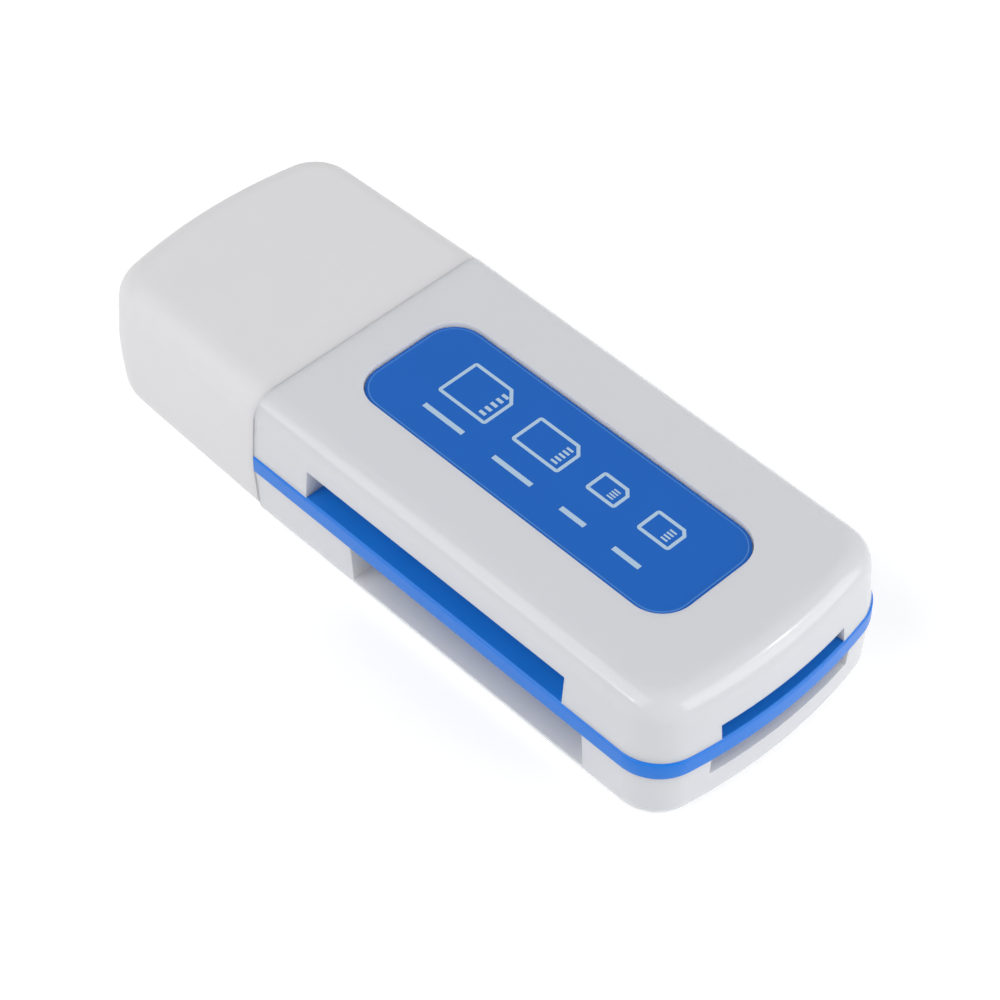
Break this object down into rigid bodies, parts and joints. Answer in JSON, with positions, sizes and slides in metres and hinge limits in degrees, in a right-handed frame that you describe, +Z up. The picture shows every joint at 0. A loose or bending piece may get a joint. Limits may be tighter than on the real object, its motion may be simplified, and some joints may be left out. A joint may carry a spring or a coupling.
{
  "type": "memory card reader",
  "caption": "Pocket card reader stick: white gloss body in two halves round a blue tray, sunk blue label, card slots in one side and in the bowed end, pull-off cap over a flat plug.",
  "frame": {"origin": "under the middle of the whole length, on the surface that the reader lies on", "axes": "+X along the length from the cap's tip to the bowed end, +Z up through the label, the slotted long side faces -Y"},
  "size_m": [0.0576, 0.0222, 0.0115],
  "materials": {
    "white_gloss": "gloss cool white moulding",
    "cap_white": "satin warm white moulding",
    "tray_blue": "gloss blue moulding, a little see-through at its edge",
    "label_blue": "gloss blue plate",
    "board_green": "green coated circuit board",
    "plug_steel": "plated folded sheet",
    "white_insulator": "white moulding",
    "contact_gold": "gold plated strip",
    "black_moulding": "black moulding",
    "crystal_steel": "drawn metal can",
    "ceramic": "tan ceramic with metal ends",
    "lamp_lens": "pale clear moulding"
  },
  "bodies": {
    "reader": {"top_shell": "white_gloss", "bottom_shell": "white_gloss", "middle_tray": "tray_blue", "label_plate": "label_blue", "circuit_board": "board_green", "plug_shell": "plug_steel", "plug_tongue": "white_insulator", "plug_contact_1": "contact_gold", "plug_contact_2": "contact_gold", "plug_contact_3": "contact_gold", "plug_contact_4": "contact_gold", "large_card_contact_1": "contact_gold", "large_card_contact_2": "contact_gold", "large_card_contact_3": "contact_gold", "large_card_contact_4": "contact_gold", "large_card_contact_5": "contact_gold", "large_card_contact_6": "contact_gold", "large_card_contact_7": "contact_gold", "large_card_contact_8": "contact_gold", "large_card_contact_9": "contact_gold", "stick_card_contact_1": "contact_gold", "stick_card_contact_2": "contact_gold", "stick_card_contact_3": "contact_gold", "stick_card_contact_4": "contact_gold", "stick_card_contact_5": "contact_gold", "stick_card_contact_6": "contact_gold", "stick_card_contact_7": "contact_gold", "stick_card_contact_8": "contact_gold", "stick_card_contact_9": "contact_gold", "stick_card_contact_10": "contact_gold", "micro_card_contact_1": "contact_gold", "micro_card_contact_2": "contact_gold", "micro_card_contact_3": "contact_gold", "micro_card_contact_4": "contact_gold", "micro_card_contact_5": "contact_gold", "micro_card_contact_6": "contact_gold", "micro_card_contact_7": "contact_gold", "micro_card_contact_8": "contact_gold", "small_card_contact_1": "contact_gold", "small_card_contact_2": "contact_gold", "small_card_contact_3": "contact_gold", "small_card_contact_4": "contact_gold", "small_card_contact_5": "contact_gold", "small_card_contact_6": "contact_gold", "small_card_contact_7": "contact_gold", "small_card_contact_8": "contact_gold", "small_card_contact_9": "contact_gold", "small_card_contact_10": "contact_gold", "small_card_contact_11": "contact_gold", "large_card_comb": "black_moulding", "stick_card_comb": "black_moulding", "micro_card_comb": "black_moulding", "small_card_comb": "black_moulding", "controller_chip": "black_moulding", "crystal": "crystal_steel", "capacitor_1": "ceramic", "capacitor_2": "ceramic", "status_led": "lamp_lens"},
    "cap": {"cap": "cap_white"}
  },
  "joints": [
    {"name": "cap_pull", "type": "slide", "parent": "reader", "child": "cap", "axis": [-1, 0, 0], "range_m": [0, 0.02]}
  ]
}
